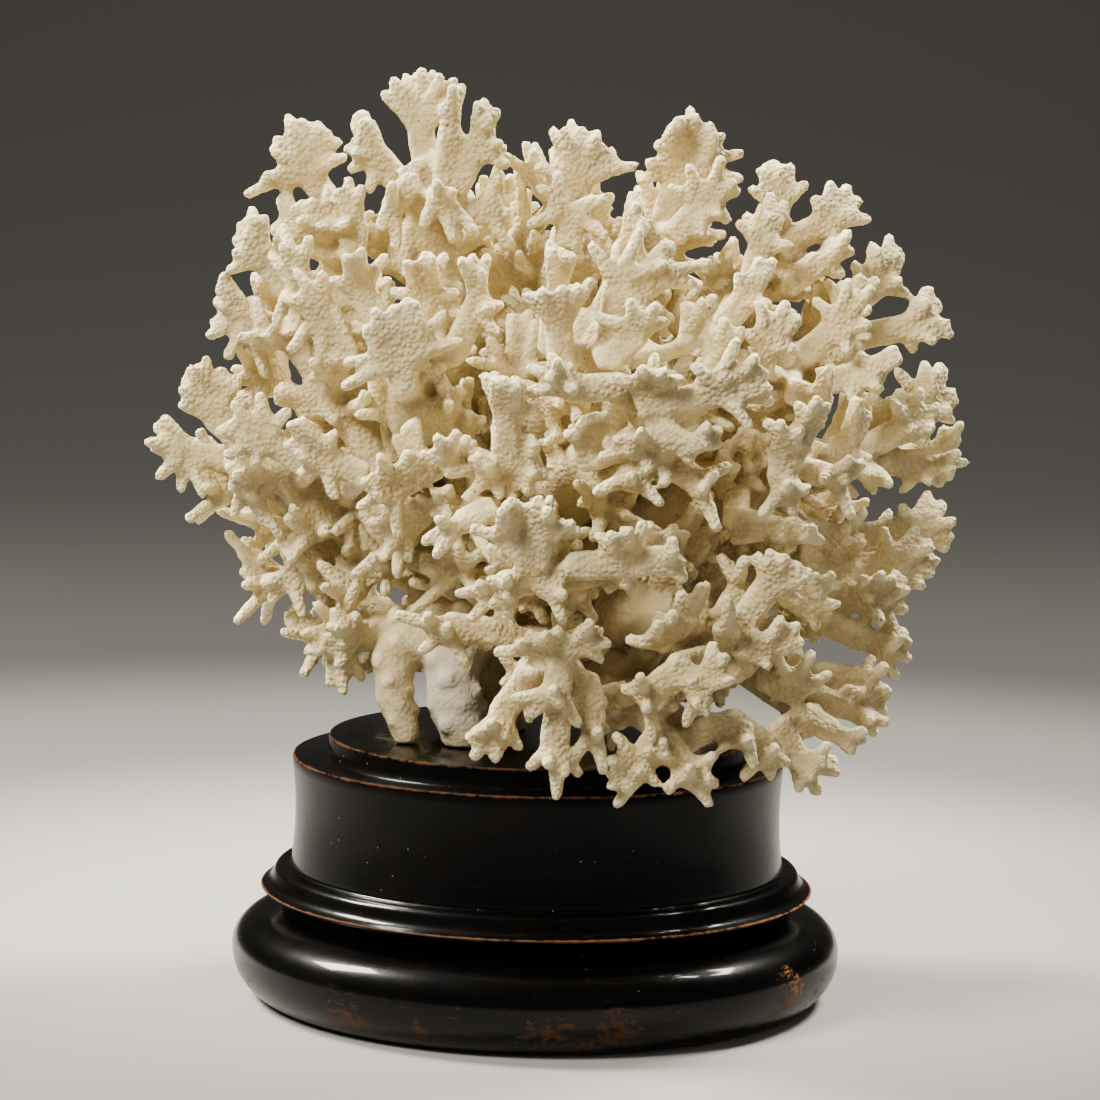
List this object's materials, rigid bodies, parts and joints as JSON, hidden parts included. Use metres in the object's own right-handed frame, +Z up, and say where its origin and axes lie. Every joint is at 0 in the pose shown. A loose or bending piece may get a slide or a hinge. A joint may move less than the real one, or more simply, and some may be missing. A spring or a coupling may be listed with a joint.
{
  "type": "coral on stand",
  "caption": "Branching white coral colony with lobed, finger-tipped fronds, set on a round turned stand of ebonised wood.",
  "frame": {"origin": "centre of the stand's flat underside", "axes": "+Z up, front of the piece faces -Y, +X to the viewer's right"},
  "size_m": [0.1527, 0.1142, 0.1724],
  "materials": {
    "coral": "matte",
    "ebonised_wood": "gloss"
  },
  "bodies": {
    "root": {"coral_base": "coral", "coral_crown": "coral", "coral_upper_left": "coral", "coral_left": "coral", "coral_left_arm": "coral", "coral_low_left": "coral", "coral_front_left": "coral", "coral_front": "coral", "coral_centre": "coral", "coral_upper_front": "coral", "coral_top": "coral", "coral_top_right": "coral", "coral_upper_right": "coral", "coral_right_top": "coral", "coral_right": "coral", "coral_right_low": "coral", "coral_front_right": "coral", "coral_front_low": "coral", "coral_low_fringe": "coral", "coral_back_left": "coral", "coral_back_right": "coral", "coral_back_top": "coral", "coral_back_low": "coral", "stand_foot": "ebonised_wood", "stand_drum": "ebonised_wood", "stand_top_disc": "ebonised_wood"}
  },
  "joints": []
}
